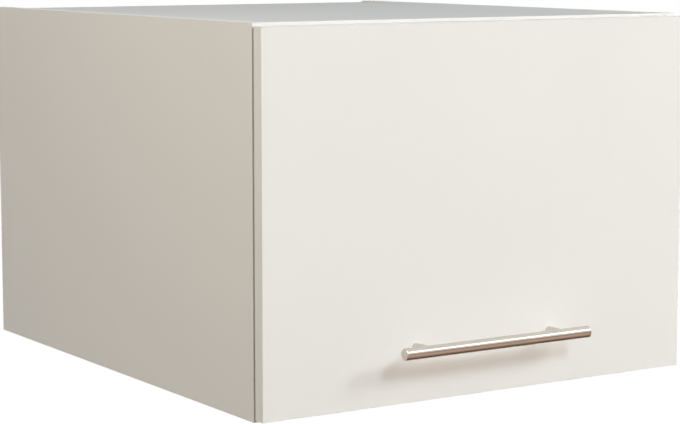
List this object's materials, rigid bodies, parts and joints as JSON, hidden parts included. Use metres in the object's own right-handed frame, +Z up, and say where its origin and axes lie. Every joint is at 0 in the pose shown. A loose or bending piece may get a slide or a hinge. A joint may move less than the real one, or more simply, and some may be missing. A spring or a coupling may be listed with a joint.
{
  "type": "over washing machine cabinet",
  "caption": "Deep white wall cabinet for over a washing machine, with one lift-up front on cup hinges and gas struts, a round bar handle and wall hangers.",
  "frame": {"origin": "centre of the underside of the carcass: middle of the width, middle of the side panels' depth, at their bottom edges", "axes": "+X to the right seen from the front, +Y from the front to the wall, +Z up; the front looks towards -Y"},
  "size_m": [0.6, 0.7265, 0.438],
  "materials": {
    "white_board": "melamine-coated chipboard, white, low sheen",
    "flap_board": "melamine-coated chipboard, white, low sheen",
    "back_board": "lacquered hardboard, white",
    "edge_band": "white edge band",
    "beech": "fluted beech dowel",
    "zinc_plated": "bright zinc-plated steel",
    "zinc_die_cast": "plain zinc die casting",
    "nickel_steel": "nickel-plated pressed steel",
    "brushed_steel": "brushed stainless steel",
    "painted_tube": "graphite grey paint, satin",
    "polished_rod": "hard-chromed rod, polished",
    "black_plastic": "black moulded plastic",
    "white_plastic": "white moulded plastic",
    "soft_stop": "translucent soft stop"
  },
  "bodies": {
    "carcass": {"side_panel_left": "white_board", "side_panel_right": "white_board", "top_panel": "white_board", "bottom_panel": "white_board", "back_panel": "back_board", "back_panel_screws": "zinc_plated", "carcass_edge_bands": "edge_band", "dowels": "beech", "cam_bolts": "zinc_plated", "cam_housings": "zinc_die_cast", "cam_caps": "white_plastic", "hanger_housing_left": "white_plastic", "hanger_housing_right": "white_plastic", "hanger_hook_left": "zinc_plated", "hanger_hook_right": "zinc_plated", "hanger_screws": "zinc_plated", "hinge_plate_left": "nickel_steel", "hinge_plate_right": "nickel_steel", "hinge_plate_screws": "zinc_plated", "hinge_arm_left": "nickel_steel", "hinge_arm_right": "nickel_steel", "hinge_arm_screws": "zinc_plated", "hinge_arm_pins": "nickel_steel", "strut_bracket_left": "zinc_plated", "strut_bracket_right": "zinc_plated", "strut_bracket_screws": "zinc_plated", "bumpers": "soft_stop"},
    "hinge_links": {"hinge_link_left": "nickel_steel", "hinge_link_right": "nickel_steel"},
    "flap": {"flap_panel": "flap_board", "flap_edge_bands": "edge_band", "handle_bar": "brushed_steel", "handle_post_left": "brushed_steel", "handle_post_right": "brushed_steel", "handle_screws": "zinc_plated", "hinge_cup_left": "nickel_steel", "hinge_cup_right": "nickel_steel", "hinge_cup_screws": "zinc_plated", "hinge_cup_pins": "nickel_steel", "flap_bracket_left": "zinc_plated", "flap_bracket_right": "zinc_plated", "flap_bracket_screws": "zinc_plated"},
    "strut_tubes": {"strut_tube_left": "painted_tube", "strut_tube_right": "painted_tube", "strut_guides": "black_plastic", "strut_tube_ends": "black_plastic"},
    "strut_rods": {"strut_rod_left": "polished_rod", "strut_rod_right": "polished_rod", "strut_rod_ends": "black_plastic"}
  },
  "joints": [
    {"name": "link_swing", "type": "hinge", "parent": "carcass", "child": "hinge_links", "pos_m": [0, -0.3335, 0.4065], "axis": [1, 0, 0], "range_deg": [0, 36]},
    {"name": "flap_lift", "type": "hinge", "parent": "hinge_links", "child": "flap", "pos_m": [0, -0.343, 0.4245], "axis": [-1, 0, 0], "range_deg": [0, 126]},
    {"name": "strut_tube_swing", "type": "hinge", "parent": "carcass", "child": "strut_tubes", "pos_m": [0, -0.191, 0.406], "axis": [-1, 0, 0], "range_deg": [0, 39.09]},
    {"name": "strut_rod_swing", "type": "hinge", "parent": "flap", "child": "strut_rods", "pos_m": [0, -0.326, 0.2905], "axis": [1, 0, 0], "range_deg": [0, 50.91]}
  ],
  "couplings": [
    {"joint": "link_swing", "follows": "flap_lift", "ratio": 0.28571},
    {"joint": "strut_tube_swing", "follows": "flap_lift", "ratio": 0.31024},
    {"joint": "strut_rod_swing", "follows": "flap_lift", "ratio": 0.40405}
  ]
}
